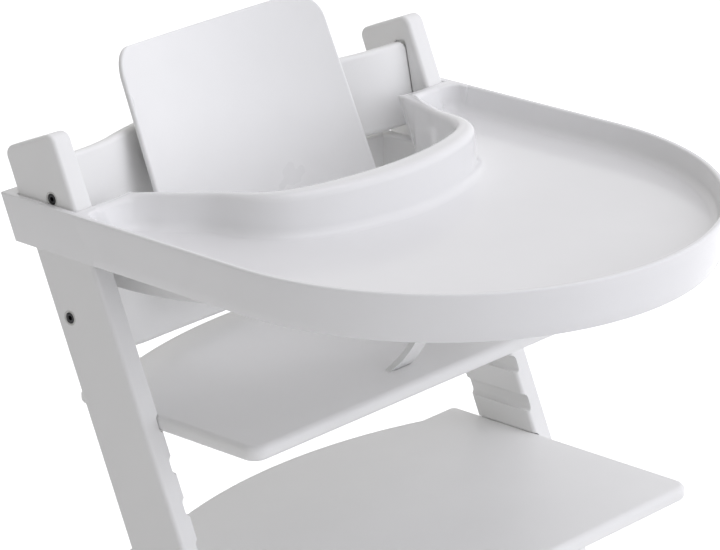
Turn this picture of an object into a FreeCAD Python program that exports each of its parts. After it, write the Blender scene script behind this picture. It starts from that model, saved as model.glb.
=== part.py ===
import FreeCAD, Part
import math
import os

V = FreeCAD.Vector
os.makedirs("parts", exist_ok=True)

# Adjustable baby high chair.  Millimetres.  The chair faces -Y, X runs across it, +Z is up.
# The origin is on the floor, in the middle of the chair's overall footprint.

# ---------------------------------------------------------------- overall sizes
chair_width = 460.0          # over the outer faces of the two uprights
chair_height = 790.0         # floor to the top front corner of an upright
base_depth = 490.0           # length of a side along the floor
glide_height = 3.0           # thickness of the plastic glides under the runners

# ---------------------------------------------------------------- side frames
lean_angle = 67.0            # uprights to the floor, leaning back
upright_thickness = 21.0     # across the chair
upright_depth = 62.5         # square to the lean
runner_height = 44.0
edge_round = 3.5             # rounding along every long edge of a side
nose_round = 14.0            # front bottom corner of a side
top_round = 9.0              # top corners of an upright
crook_round = 22.0           # inner corner between upright and runner
heel_round = 16.0            # rear end of a runner

# ---------------------------------------------------------------- grooves and plates
lowest_groove = 120.0        # no groove's plate would lie below this height
groove_pitch = 33.4
groove_depth = 5.0
groove_corner = 4.0          # rounding at the bottom of a groove
plate_thickness = 14.0
plate_clearance = 0.3        # above and below a plate in its groove
plate_side_gap = 0.8         # between a plate's side edge and the bottom of its groove
plate_edge_round = 5.5
plate_corner_round = 15.0
plate_ear_round = 8.0
plate_bow = 30.0             # how far the middle of a plate's rear edge stands behind its ears
plate_bow_round = 8.0        # where that bow meets an ear
plate_ear_width = 45.2
seat_drop = 227.5            # uprights' top front corner down to the top of the seat plate
footplate_step = 4           # grooves from the seat plate down to the footplate
seat_front = 209.0           # ahead of the uprights' top front corner
seat_rear = 26.0             # behind that corner, at the middle
footplate_front = 327.0
footplate_rear = -23.0

# ---------------------------------------------------------------- back boards
board_thickness = 12.0
board_slope = 0.2            # rearward travel per unit of height
board_sag = 40.0             # depth of the bend at mid span
board_end_flat = 20.0        # straight length at each end
board_end_bend = 120.0       # radius of the bend next to the straight end
board_edge_round = 4.0
board_corner_round = 9.0
board_seat_depth = 2.5       # how far each end enters its upright
board_seat_gap = 0.9         # shadow gap around an end in its recess
board_end_gap = 0.3          # behind an end in its recess
upper_board_height = 74.0
upper_board_drop = 61.5      # uprights' top front corner down to the board's middle
upper_bolt_drop = 57.0
upper_bolt_back = 1.0        # bolt line behind the uprights' top front corner
lower_board_height = 52.0
lower_board_drop = 165.5
lower_board_belly = 20.0     # how far the lower edge drops at mid span
lower_bolt_drop = 157.0
lower_bolt_back = -16.0

# ---------------------------------------------------------------- fastenings
bolt_radius = 3.0
bolt_clearance = 0.2
bolt_head_radius = 4.7
bolt_head_height = 5.0
bolt_head_round = 0.6
bolt_head_sunk = 0.2         # below the side's outer face
bolt_tip_gap = 2.0           # from a bolt's tip to the end of its thread
thread_clearance = 0.05
socket_flats = 4.0
socket_depth = 3.0
ring_outer_radius = 6.5
ring_height = 2.0
ring_proud = 0.4
ring_round = 0.5
insert_radius = 4.0
insert_length = 16.0
crossbar_radius = 6.0
crossbar_thread_depth = 18.0
upper_crossbar_rise = 6      # grooves from the lowest one up to the bar
lower_crossbar_rise = 2
crosspiece_height = 34.0
crosspiece_thickness = 20.0
crosspiece_setback = 120.0   # from the rear end of the runners
crosspiece_lift = 5.0        # above the underside of the runners
crosspiece_round = 4.0
dowel_radius = 4.0
dowel_length = 20.0
dowel_spread = 11.0          # each side of the crosspiece bolt
dowel_round = 0.8

# ---------------------------------------------------------------- glides
glide_length = 46.0
glide_width = 15.0
glide_round = 1.2
glide_peg_radius = 3.0
glide_peg_length = 10.0
front_glide_setback = 26.0
rear_glide_length = 120.0

# ---------------------------------------------------------------- baby back
back_mouth_gap = 38.0        # from its side edges to the mouth of the belly opening
back_taper = 6.0             # how much narrower it is at the top, each side
back_top_rise = 42.0         # above the uprights' top front corner
back_bottom_drop = 148.0
back_slope_angle = 22.5      # from the vertical
back_sag = 34.0
back_wall = 5.0
back_edge_round = 2.0
back_corner_round = 28.0
back_foot_round = 40.0
back_edge_forward = 18.0     # its side edges ahead of the uprights' top front corner
back_edge_drop = 64.0        # height below that corner at which they are
hook_half_width = 30.0
hook_wall = 4.0
hook_drop = 26.0
hook_clearance = 0.4
hook_lip_round = 1.0
hook_crown_round = 3.0

# ---------------------------------------------------------------- baby rail
rail_side_gap = 24.0         # from the bow's centre line to an upright
rail_wall = 12.0
rail_height = 34.0
rail_centre_forward = 30.0   # centre of the bow ahead of the datum
rail_rear_back = 10.0        # rear ends of the arms behind the datum
rail_plate_gap = 8.0         # from the rear plates to the baby back's widest part
rail_plate_thickness = 9.0
rail_edge_round = 2.5
tongue_thickness = 6.0
tongue_neck_half_width = 9.0
tongue_foot_half_width = 14.5
tongue_root_half_width = 20.0
tongue_stem_half_width = 11.0
tongue_neck_share = 0.55     # of its height, up to its neck
tongue_setback = 34.0        # behind the seat plate's front edge
tongue_mid_share = 0.6       # of its forward reach, at tongue_mid_height
tongue_mid_height = 32.0     # above the seat
slot_clearance = 1.2
latch_half_width = 15.0
latch_length = 22.0
latch_height = 9.0
latch_gap = 0.4
latch_round = 2.0

# ---------------------------------------------------------------- tray
tray_front = 460.0           # ahead of the uprights' top front corner
tray_rim_drop = 61.0         # below that corner
tray_skirt = 42.0            # height of the outer wall
tray_pocket_wall = 6.2       # outside an upright
tray_flare = 3.2             # how much wider the round front is, each side
tray_draft = 5.0             # how much smaller the outline is at the bottom
tray_wall = 5.0
tray_floor_drop = 22.0       # rim to floor
tray_floor_wall = 3.0
tray_floor_draft = 3.0
tray_rear_back = 53.0        # rear end behind the uprights' top front corner
tray_rear_rake = 8.0
tray_deck_front = 45.0       # front of the decks before the uprights
tray_clearance = 0.6         # pocket round the uprights
cutout_side_gap = 69.0       # from the belly opening's straight part to an upright
cutout_mouth_gap = 41.0      # from the opening's rear ends to an upright
cutout_mouth_back = 30.0     # rear ends of the opening, ahead of the uprights' top front corner
cutout_side_start = 88.0
cutout_rail_gap = 39.0       # from the front of the opening to the inside of the rail
cutout_shoulder_width = 0.74     # of the half width, where the opening rounds its shoulders
cutout_shoulder_depth = 0.28     # of the depth, from the front
collar_side_wall = 10.0
collar_front_wall = 24.0
collar_front_rise = 18.0     # above the rim
collar_rear_rise = 2.0
tray_rail_gap = 0.3
tray_clip_length = 30.0
tray_clip_round = 1.5
tray_clip_angles = (-40.0, 40.0)

# ---------------------------------------------------------------- derived places
lean = math.radians(lean_angle)
half_width = chair_width / 2
inner_x = half_width - upright_thickness
tray_overhang = tray_front - chair_height / math.tan(lean)      # ahead of the floor runners
overall_depth = base_depth + tray_overhang
toe_y = -overall_depth / 2 + tray_overhang
heel_y = toe_y + base_depth
datum_y = toe_y + chair_height / math.tan(lean)     # the uprights' top front corner
upright_run = upright_depth / math.sin(lean)        # depth of an upright measured level
reach = 2 * chair_height                            # longer than any cut needs
overrun = 1.0                                       # how far a cut runs past the face it opens

seat_height = chair_height - seat_drop
footplate_height = seat_height - footplate_step * groove_pitch
groove_count = int((seat_height - lowest_groove) / groove_pitch) + 1
plate_half_width = inner_x + groove_depth - plate_side_gap
plate_bow_half_width = plate_half_width - plate_ear_width
upper_board_centre = chair_height - upper_board_drop
upper_bolt_height = chair_height - upper_bolt_drop
lower_board_centre = chair_height - lower_board_drop
lower_bolt_height = chair_height - lower_bolt_drop

tray_rim_height = chair_height - tray_rim_drop
tray_rear_half_width = half_width + tray_clearance + tray_pocket_wall
tray_radius = tray_rear_half_width + tray_flare
rail_radius = inner_x - rail_side_gap
rail_top = tray_rim_height - tray_skirt - tray_rail_gap
rail_bottom = rail_top - rail_height
rail_centre_y = datum_y - rail_centre_forward
tongue_y = datum_y - seat_front + tongue_setback
cutout_half_width = inner_x - cutout_side_gap
cutout_mouth_half_width = inner_x - cutout_mouth_gap
cutout_front = rail_centre_forward + rail_radius - rail_wall / 2 - cutout_rail_gap
collar_front_height = tray_rim_height + collar_front_rise
collar_rear_height = tray_rim_height + collar_rear_rise

back_half_width = cutout_mouth_half_width - back_mouth_gap
back_top_half_width = back_half_width - back_taper
back_top_height = chair_height + back_top_rise
back_bottom_height = chair_height - back_bottom_drop
back_edge_height = chair_height - back_edge_drop
rail_plate_inner = back_half_width + rail_plate_gap

crosspiece_y = heel_y - crosspiece_setback
crosspiece_z = glide_height + crosspiece_lift + crosspiece_height / 2


def front_y(z):
    """Y of the uprights' front face at height z."""
    return toe_y + z / math.tan(lean)


# Ways of placing a flat outline (a, b) in space.
def level(z):
    return lambda a, b: V(a, b, z)


def across(y):
    return lambda a, b: V(a, y, b)


def sideways(x):
    return lambda a, b: V(x, a, b)


def rounded_outline(points, radii, place):
    """Closed wire through points, each corner rounded to its radius."""
    count = len(points)
    corners = []
    for i in range(count):
        px, py = points[i]
        ax, ay = points[i - 1]
        bx, by = points[(i + 1) % count]
        ua = V(ax - px, ay - py, 0).normalize()
        ub = V(bx - px, by - py, 0).normalize()
        radius = radii[i]
        if radius == 0:
            corners.append((place(px, py), None, place(px, py)))
            continue
        half = ua.getAngle(ub) / 2
        run = radius / math.tan(half)
        out = radius / math.sin(half)
        middle = (ua + ub).normalize()
        first = place(px + ua.x * run, py + ua.y * run)
        last = place(px + ub.x * run, py + ub.y * run)
        crown = place(px + middle.x * (out - radius), py + middle.y * (out - radius))
        corners.append((first, crown, last))
    edges = []
    for i in range(count):
        first, crown, last = corners[i]
        if crown is not None:
            edges.append(Part.Arc(first, crown, last).toShape())
        following = corners[(i + 1) % count][0]
        if last.distanceToPoint(following) > 1e-6:
            edges.append(Part.makeLine(last, following))
    return Part.Wire(edges)


def prism(wire, travel):
    return Part.Face(wire).extrude(travel)


def box(x0, x1, y0, y1, z0, z1):
    return Part.makeBox(x1 - x0, y1 - y0, z1 - z0, V(x0, y0, z0))


def rod(radius, start, end):
    return Part.makeCylinder(radius, (end - start).Length, start, end - start)


def round_edges(shape, radius, chosen):
    """Fillet every edge for which chosen(edge) is true."""
    return shape.makeFillet(radius, [edge for edge in shape.Edges if chosen(edge)])


def edge_lies(edge, axis, values):
    """True if the whole edge lies at one of the values along x, y or z."""
    low = getattr(edge.BoundBox, axis.upper() + "Min")
    high = getattr(edge.BoundBox, axis.upper() + "Max")
    return high - low < 0.01 and min(abs(low - value) for value in values) < 0.01


def mirrored(shape):
    return shape.mirror(V(0, 0, 0), V(1, 0, 0))


def export(name, *shapes):
    solid = shapes[0] if len(shapes) == 1 else Part.makeCompound(list(shapes))
    solid.exportStep("parts/" + name + ".step")


def both_sides(shapes):
    return list(shapes) + [mirrored(shape) for shape in shapes]


# ---------------------------------------------------------------- fastener pattern
def crossbar_z(grooves_down):
    """Height midway between two grooves."""
    plate_middle = seat_height - plate_thickness / 2
    return plate_middle - (grooves_down + 0.5) * groove_pitch


def crossbar_point(grooves_down):
    z = crossbar_z(grooves_down)
    return front_y(z) + upright_run / 2, z


upper_bolt = (datum_y + upper_bolt_back, upper_bolt_height)
lower_bolt = (datum_y + lower_bolt_back, lower_bolt_height)
upper_bar = crossbar_point(groove_count - upper_crossbar_rise)
lower_bar = crossbar_point(groove_count - lower_crossbar_rise)
upright_bolts = (upper_bolt, lower_bolt, upper_bar, lower_bar)
crosspiece_bolt = (crosspiece_y, crosspiece_z)
# How far each bolt's tip reaches past the uprights' inner face.
bolt_reach = {
    upper_bolt: board_seat_depth + bolt_tip_gap - insert_length,
    lower_bolt: board_seat_depth + bolt_tip_gap - insert_length,
    upper_bar: bolt_tip_gap - crossbar_thread_depth,
    lower_bar: bolt_tip_gap - crossbar_thread_depth,
    crosspiece_bolt: bolt_tip_gap - insert_length,
}
head_seat_x = half_width - bolt_head_sunk - bolt_head_height


def bolt_hole(place):
    """Stepped hole for one bolt, through the right side frame."""
    y, z = place
    outside = V(half_width + overrun, y, z)
    shank = rod(bolt_radius + bolt_clearance, V(inner_x - overrun, y, z), outside)
    head = rod(bolt_head_radius + bolt_clearance, V(head_seat_x, y, z), outside)
    ring_seat = half_width + ring_proud - ring_height
    ring = rod(ring_outer_radius, V(ring_seat, y, z), outside)
    return shank.fuse(head).fuse(ring)


def bolt(place):
    """Hex socket bolt in the right side frame, its tip inside what it holds."""
    y, z = place
    tip_x = inner_x + bolt_reach[place]
    shank = rod(bolt_radius, V(tip_x, y, z), V(head_seat_x, y, z))
    head_end = head_seat_x + bolt_head_height
    head = rod(bolt_head_radius, V(head_seat_x, y, z), V(head_end, y, z))
    head = round_edges(head, bolt_head_round, lambda edge: edge_lies(edge, "x", [head_end]))
    hexagon = []
    for corner in range(6):
        angle = math.radians(60 * corner)
        size = socket_flats / math.sqrt(3)
        hexagon.append((y + size * math.cos(angle), z + size * math.sin(angle)))
    socket = prism(rounded_outline(hexagon, [0] * 6, sideways(head_end - socket_depth)), V(reach, 0, 0))
    return shank.fuse(head).cut(socket)


def bolt_ring(place):
    """Pale ring let into the side round a bolt head."""
    y, z = place
    start = half_width + ring_proud - ring_height
    end = start + ring_height
    outer = rod(ring_outer_radius, V(start, y, z), V(end, y, z))
    outer = round_edges(outer, ring_round, lambda edge: edge_lies(edge, "x", [end]))
    hole = rod(bolt_head_radius + bolt_clearance, V(start - overrun, y, z), V(end + overrun, y, z))
    return outer.cut(hole)


# ---------------------------------------------------------------- side frames
def board_recess(height_centre, height, bolt_place):
    """Shallow pocket in the right upright's inner face for the end of a back board."""
    half = height / 2 + board_seat_gap
    deep = board_thickness / 2 + board_seat_gap
    shape = prism(
        rounded_outline(
            [(-deep, -half), (deep, -half), (deep, half), (-deep, half)],
            [board_edge_round] * 4,
            sideways(inner_x - overrun),
        ),
        V(overrun + board_seat_depth + board_end_gap, 0, 0),
    )
    return lean_board(shape, height_centre, bolt_place)


def lean_board(shape, height_centre, bolt_place):
    """Turn a piece drawn upright at the origin to the backrest's slope and carry it to its height."""
    angle = math.degrees(math.atan(board_slope))
    shape.rotate(V(0, 0, 0), V(1, 0, 0), -angle)
    bolt_y, bolt_z = bolt_place
    middle_y = bolt_y + (height_centre - bolt_z) * board_slope
    shape.translate(V(0, middle_y, height_centre))
    return shape


def side_outline(x):
    foot = glide_height
    top_front = (front_y(chair_height), chair_height)
    top_rear = (
        top_front[0] + upright_depth * math.sin(lean),
        top_front[1] - upright_depth * math.cos(lean),
    )
    crook_z = foot + runner_height
    crook = (front_y(crook_z) + upright_run, crook_z)
    toe = (front_y(foot), foot)
    points = [toe, top_front, top_rear, crook, (heel_y, crook_z), (heel_y, foot)]
    radii = [nose_round, top_round, top_round, crook_round, heel_round, heel_round]
    return rounded_outline(points, radii, sideways(x)), toe, crook


def groove(level_index):
    """Level groove, open at both ends, for the side edge of a plate."""
    top = seat_height + plate_clearance - level_index * groove_pitch
    bottom = top - plate_thickness - 2 * plate_clearance
    deep = inner_x + groove_depth
    mouth = inner_x - overrun
    points = [(mouth, bottom), (deep, bottom), (deep, top), (mouth, top)]
    wire = rounded_outline(points, [0, groove_corner, groove_corner, 0], across(-reach / 2))
    return prism(wire, V(0, reach, 0))


def right_side():
    wire, toe, crook = side_outline(inner_x)
    side = prism(wire, V(upright_thickness, 0, 0))
    side = round_edges(side, edge_round, lambda edge: edge_lies(edge, "x", [inner_x, half_width]))
    for level_index in range(groove_count):
        side = side.cut(groove(level_index))
    side = side.cut(board_recess(upper_board_centre, upper_board_height, upper_bolt))
    side = side.cut(board_recess(lower_board_centre, lower_board_height, lower_bolt))
    for place in upright_bolts + (crosspiece_bolt,):
        side = side.cut(bolt_hole(place))
    for centre_y, length in glide_places():
        for offset in glide_pegs(length):
            peg = V(side_middle_x, centre_y + offset, glide_height - overrun)
            side = side.cut(rod(glide_peg_radius, peg, peg + V(0, 0, overrun + glide_peg_length)))
    for offset in (-dowel_spread, dowel_spread):
        start = V(inner_x - overrun, crosspiece_y, crosspiece_z + offset)
        side = side.cut(rod(dowel_radius, start, start + V(overrun + dowel_length / 2, 0, 0)))
    # The upright and the runner meet on a mitre from the toe to the crook.
    dy, dz = crook[0] - toe[0], crook[1] - toe[1]
    low = (toe[0] - dy, toe[1] - dz)
    high = (crook[0] + 2 * dy, crook[1] + 2 * dz)
    behind = [low, high, (high[0] + reach, high[1]), (low[0] + reach, low[1])]
    splitter = prism(rounded_outline(behind, [0] * 4, sideways(0)), V(reach, 0, 0))
    return side.cut(splitter), side.common(splitter)


# ---------------------------------------------------------------- glides
side_middle_x = half_width - upright_thickness / 2


def glide_places():
    front = toe_y + nose_round + front_glide_setback
    rear = heel_y - heel_round - rear_glide_length / 2
    return ((front, glide_length), (rear, rear_glide_length))


def glide_pegs(length):
    """Offsets of a glide's two pegs from its middle, each in the middle of a round end."""
    return (glide_width / 2 - length / 2, length / 2 - glide_width / 2)


def glide(centre_y, length):
    half_x, half_y = glide_width / 2, length / 2
    corner = 0.95 * half_x
    points = [
        (side_middle_x - half_x, centre_y - half_y),
        (side_middle_x + half_x, centre_y - half_y),
        (side_middle_x + half_x, centre_y + half_y),
        (side_middle_x - half_x, centre_y + half_y),
    ]
    pad = prism(rounded_outline(points, [corner] * 4, level(0)), V(0, 0, glide_height))
    pad = round_edges(pad, glide_round, lambda edge: edge_lies(edge, "z", [0]))
    for offset in glide_pegs(length):
        start = V(side_middle_x, centre_y + offset, glide_height / 2)
        peg_top = V(side_middle_x, centre_y + offset, glide_height + glide_peg_length - glide_round)
        pad = pad.fuse(rod(glide_peg_radius, start, peg_top))
    return pad


# ---------------------------------------------------------------- back boards
def bent_band(half_span, sag, thickness):
    """Face of a board bent to the rear, with straight ends, as seen from above."""
    rise = half_span - board_end_flat
    turn = 2 * math.atan(sag / rise)
    main = rise / math.sin(turn) - board_end_bend

    def edge_line(side):
        near, far = board_end_bend + side, main - side
        flat_x = half_span - board_end_flat
        bend_x = flat_x - near * math.sin(turn)
        bend_y = -side + near * (1 - math.cos(turn))
        crown_y = bend_y + far * (1 - math.cos(turn))
        middle_x = flat_x - near * math.sin(turn / 2)
        middle_y = -side + near * (1 - math.cos(turn / 2))
        return [
            (half_span, -side), (flat_x, -side), (middle_x, middle_y), (bend_x, bend_y), (0, crown_y),
        ]

    def half_edges(line, sign):
        end, flat, middle, bend, crown = [V(sign * x, y, 0) for x, y in line]
        return Part.makeLine(end, flat), Part.Arc(flat, middle, bend).toShape(), bend, crown

    wires = []
    for side in (thickness / 2, -thickness / 2):
        line = edge_line(side)
        right_line, right_arc, right_bend, crown = half_edges(line, 1)
        left_line, left_arc, left_bend, crown = half_edges(line, -1)
        main_arc = Part.Arc(right_bend, crown, left_bend).toShape()
        wires.append([right_line, right_arc, main_arc, left_arc, left_line])
    ends = []
    for sign in (1, -1):
        x = sign * half_span
        ends.append(Part.makeLine(V(x, -thickness / 2, 0), V(x, thickness / 2, 0)))
    edges = Part.__sortEdges__(wires[0] + wires[1] + ends)
    return Part.Face(Part.Wire(edges))


def back_board(height, centre, bolt_place, belly):
    """Laminated board bent to the rear; belly lowers its bottom edge at mid span."""
    half_span = inner_x + board_seat_depth
    half = height / 2
    band = bent_band(half_span, board_sag, board_thickness)
    band.translate(V(0, 0, -half - belly))
    band = band.extrude(V(0, 0, height + belly))
    top = [(half_span, half), (-half_span, half)]
    if belly == 0:
        points = [(-half_span, -half), (half_span, -half)] + top
        wire = rounded_outline(points, [board_corner_round] * 4, across(-reach / 2))
    else:
        corner = board_corner_round
        low_left, low_right = V(-half_span, -reach / 2, -half), V(half_span, -reach / 2, -half)
        top_right, top_left = V(half_span, -reach / 2, half), V(-half_span, -reach / 2, half)
        sweep = Part.Arc(low_left, V(0, -reach / 2, -half - belly), low_right).toShape()
        right = Part.makeLine(low_right, top_right - V(0, 0, corner))
        left = Part.makeLine(top_left - V(0, 0, corner), low_left)
        across_top = Part.makeLine(top_right - V(corner, 0, 0), top_left + V(corner, 0, 0))
        slant = corner * (1 - math.sqrt(0.5))
        turn_right = Part.Arc(
            top_right - V(0, 0, corner), top_right - V(slant, 0, slant), top_right - V(corner, 0, 0)
        ).toShape()
        turn_left = Part.Arc(
            top_left + V(corner, 0, 0), top_left + V(slant, 0, -slant), top_left - V(0, 0, corner)
        ).toShape()
        wire = Part.Wire([sweep, right, turn_right, across_top, turn_left, left])
    board = band.common(prism(wire, V(0, reach, 0)))
    span = half_span - board_corner_round - overrun
    board = round_edges(
        board,
        board_edge_round,
        lambda edge: not edge_lies(edge, "x", [half_span, -half_span])
        and edge.BoundBox.XLength > 1.5 * board_corner_round
        and edge.BoundBox.ZLength < belly + 0.01
        and abs(edge.BoundBox.Center.x) < span,
    )
    board = lean_board(board, centre, bolt_place)
    y, z = bolt_place
    for sign in (1, -1):
        end = V(sign * (half_span + overrun), y, z)
        board = board.cut(rod(insert_radius, end, end - V(sign * (overrun + insert_length), 0, 0)))
    return board


def threaded_insert(outer_x, place, length):
    """Threaded sleeve set in the end of a wooden piece, on the right."""
    y, z = place
    inner_end = outer_x - length
    sleeve = rod(insert_radius, V(inner_end, y, z), V(outer_x, y, z))
    thread = bolt_radius + thread_clearance
    return sleeve.cut(rod(thread, V(inner_end - overrun, y, z), V(outer_x + overrun, y, z)))


# ---------------------------------------------------------------- plates
def plate(top, front, rear):
    """Seat plate or footplate: straight front, bowed rear edge between two small ears."""
    half = plate_half_width
    ear_y = rear - plate_bow
    bow = plate_bow_half_width
    floor = top - plate_thickness
    corner, ear = plate_corner_round, plate_ear_round
    front_slant = corner * (1 - math.sqrt(0.5))
    rear_slant = ear * (1 - math.sqrt(0.5))
    edges = []
    for sign in (1, -1):
        def at(x, y):
            return V(sign * x, y, floor)
        middle = at(half - front_slant, front + front_slant)
        edges.append(Part.Arc(at(half - corner, front), middle, at(half, front + corner)).toShape())
        edges.append(Part.makeLine(at(half, front + corner), at(half, ear_y - ear)))
        middle = at(half - rear_slant, ear_y - rear_slant)
        edges.append(Part.Arc(at(half, ear_y - ear), middle, at(half - ear, ear_y)).toShape())
        edges.append(Part.makeLine(at(half - ear, ear_y), at(bow, ear_y)))
    edges.append(Part.Arc(V(bow, ear_y, floor), V(0, rear, floor), V(-bow, ear_y, floor)).toShape())
    edges.append(Part.makeLine(V(corner - half, front, floor), V(half - corner, front, floor)))
    outline = Part.Wire(Part.__sortEdges__(edges))
    slab = prism(outline, V(0, 0, plate_thickness))
    slab = round_edges(slab, plate_bow_round, lambda edge: is_bow_corner(edge, bow, ear_y))
    return round_edges(slab, plate_edge_round, lambda edge: edge_lies(edge, "z", [floor, top]))


def is_bow_corner(edge, bow, ear_y):
    """Upright edge where the bowed middle of a plate meets its ear."""
    middle = edge.BoundBox.Center
    stands = edge.BoundBox.ZLength > plate_thickness / 2
    return stands and abs(abs(middle.x) - bow) < 0.1 and abs(middle.y - ear_y) < 0.1


def seat_plate():
    slab = plate(seat_height, datum_y - seat_front, datum_y + seat_rear)
    half_x = tongue_stem_half_width + slot_clearance
    half_y = tongue_thickness / 2 + slot_clearance
    points = [
        (-half_x, tongue_y - half_y), (half_x, tongue_y - half_y),
        (half_x, tongue_y + half_y), (-half_x, tongue_y + half_y),
    ]
    wire = rounded_outline(points, [tongue_thickness / 2] * 4, level(seat_height - reach / 2))
    return slab.cut(prism(wire, V(0, 0, reach)))


# ---------------------------------------------------------------- baby back
def baby_back():
    """Curved plastic shell: a bent sheet cut to a rounded outline, then leant back."""
    slope = math.radians(back_slope_angle)
    scale = 1 / math.cos(slope)
    low = (back_bottom_height - back_edge_height) * scale
    high = (back_top_height - back_edge_height) * scale
    radius = (back_half_width ** 2 + back_sag ** 2) / (2 * back_sag)
    centre = V(0, back_sag - radius, low)
    sheet = Part.makeCylinder(radius + back_wall, high - low, centre)
    sheet = sheet.cut(Part.makeCylinder(radius, high - low, centre))
    points = [
        (-back_half_width, low), (back_half_width, low),
        (back_top_half_width, high), (-back_top_half_width, high),
    ]
    radii = [back_foot_round, back_foot_round, back_corner_round, back_corner_round]
    outline = prism(rounded_outline(points, radii, across(-back_wall)), V(0, 3 * back_sag, 0))
    shell = sheet.common(outline)
    shell = round_edges(shell, back_edge_round, lambda edge: edge.Length > back_wall)
    shell.rotate(V(0, 0, 0), V(1, 0, 0), -back_slope_angle)
    shell.translate(V(0, datum_y - back_edge_forward, back_edge_height))
    return shell


def board_face_y(z, behind):
    """Y of the upper back board at mid span and height z: its front face, or its rear face."""
    middle = upper_bolt[0] + (z - upper_bolt[1]) * board_slope
    half = board_thickness / 2 * math.sqrt(1 + board_slope ** 2)
    bend = board_sag * math.sqrt(1 + board_slope ** 2)
    return middle + bend + (half if behind else -half)


def shell_rear_y(z):
    """Y of the baby back's rear face at mid span and height z."""
    slope = math.radians(back_slope_angle)
    middle = datum_y - back_edge_forward + (z - back_edge_height) * math.tan(slope)
    return middle + (back_sag + back_wall) / math.cos(slope)


def back_hook():
    """J-shaped hook from the baby back's rear face over the top edge of the upper back board."""
    angle = math.atan(board_slope)
    board_top = upper_board_centre + upper_board_height / 2 * math.cos(angle)
    board_top += (board_thickness / 2 - board_sag) * math.sin(angle)
    inside = board_top + hook_clearance
    top = inside + hook_wall
    low = inside - hook_drop
    rear_top = board_face_y(inside, True) + hook_clearance
    rear_low = board_face_y(low, True) + hook_clearance
    points = [
        (shell_rear_y(inside), inside),
        (rear_top, inside),
        (rear_low, low),
        (rear_low + hook_wall, low),
        (rear_top + hook_wall, top),
        (shell_rear_y(top), top),
    ]
    lip = hook_lip_round
    wire = rounded_outline(points, [0, lip, lip, lip, hook_crown_round, 0], sideways(-hook_half_width))
    return prism(wire, V(2 * hook_half_width, 0, 0))


# ---------------------------------------------------------------- baby rail and crotch tongue
def rail_plan(radius, z):
    """Outline of the rail's plan: a half circle round the front with two straight arms."""
    rear = datum_y + rail_rear_back
    edges = [
        Part.makeLine(V(radius, rear, z), V(radius, rail_centre_y, z)),
        Part.Arc(
            V(radius, rail_centre_y, z), V(0, rail_centre_y - radius, z), V(-radius, rail_centre_y, z)
        ).toShape(),
        Part.makeLine(V(-radius, rail_centre_y, z), V(-radius, rear, z)),
        Part.makeLine(V(-radius, rear, z), V(radius, rear, z)),
    ]
    return Part.Wire(edges)


def baby_rail():
    """Bow round the child with a flat plate turned inwards at each rear end."""
    outer = prism(rail_plan(rail_radius + rail_wall / 2, rail_bottom), V(0, 0, rail_height))
    inner = prism(rail_plan(rail_radius - rail_wall / 2, rail_bottom), V(0, 0, rail_height))
    bow = outer.cut(inner)
    rear = datum_y + rail_rear_back
    for sign in (1, -1):
        x0, x1 = sorted((sign * rail_plate_inner, sign * rail_radius))
        plate_front = rear - rail_plate_thickness
        bow = bow.fuse(box(x0, x1, plate_front, rear, rail_bottom, rail_top))
    bow = bow.removeSplitter()
    return round_edges(bow, rail_edge_round, lambda edge: edge_lies(edge, "z", [rail_bottom, rail_top]))


def crotch_tongue():
    """Tongue that curves down from the rail's front and passes through the slot in the seat."""
    foot = (tongue_y, seat_height)
    root = (rail_centre_y - rail_radius, rail_bottom)
    middle_y = foot[0] + tongue_mid_share * (root[0] - foot[0])
    middle = (middle_y, seat_height + tongue_mid_height)
    half = tongue_thickness / 2

    def side_curve(shift):
        return Part.Arc(
            V(-reach / 2, foot[0] + shift, foot[1]),
            V(-reach / 2, middle[0] + shift, middle[1]),
            V(-reach / 2, root[0] + shift, root[1]),
        ).toShape()

    near, far = side_curve(-half), side_curve(half)
    stem_low = seat_height - plate_thickness - latch_gap - latch_height
    edges = [
        near,
        Part.makeLine(V(-reach / 2, root[0] - half, root[1]), V(-reach / 2, root[0] + half, root[1])),
        far,
        Part.makeLine(V(-reach / 2, foot[0] + half, foot[1]), V(-reach / 2, foot[0] - half, foot[1])),
    ]
    blade = prism(Part.Wire(Part.__sortEdges__(edges)), V(reach, 0, 0))
    neck_z = seat_height + tongue_neck_share * (rail_bottom - seat_height)
    right_side_line = [
        V(tongue_foot_half_width, -reach / 2, seat_height),
        V(tongue_neck_half_width, -reach / 2, neck_z),
        V(tongue_root_half_width, -reach / 2, rail_bottom),
    ]
    left_side_line = [V(-point.x, point.y, point.z) for point in right_side_line]
    face_edges = [
        Part.Arc(*right_side_line).toShape(),
        Part.makeLine(right_side_line[2], left_side_line[2]),
        Part.Arc(*left_side_line).toShape(),
        Part.makeLine(left_side_line[0], right_side_line[0]),
    ]
    front_view = prism(Part.Wire(Part.__sortEdges__(face_edges)), V(0, reach, 0))
    stem_x = tongue_stem_half_width
    stem = box(-stem_x, stem_x, foot[0] - half, foot[0] + half, stem_low, seat_height)
    return blade.common(front_view).fuse(stem)


def tongue_latch():
    """Latch under the seat that the tongue's stem passes through."""
    top = seat_height - plate_thickness - latch_gap
    front = tongue_y - latch_length / 2
    block = box(-latch_half_width, latch_half_width, front, front + latch_length, top - latch_height, top)
    block = round_edges(block, latch_round, lambda edge: not edge_lies(edge, "z", [top]))
    half = tongue_thickness / 2 + thread_clearance
    stem_x = tongue_stem_half_width + thread_clearance
    return block.cut(box(-stem_x, stem_x, tongue_y - half, tongue_y + half, top - reach, top + overrun))


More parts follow.
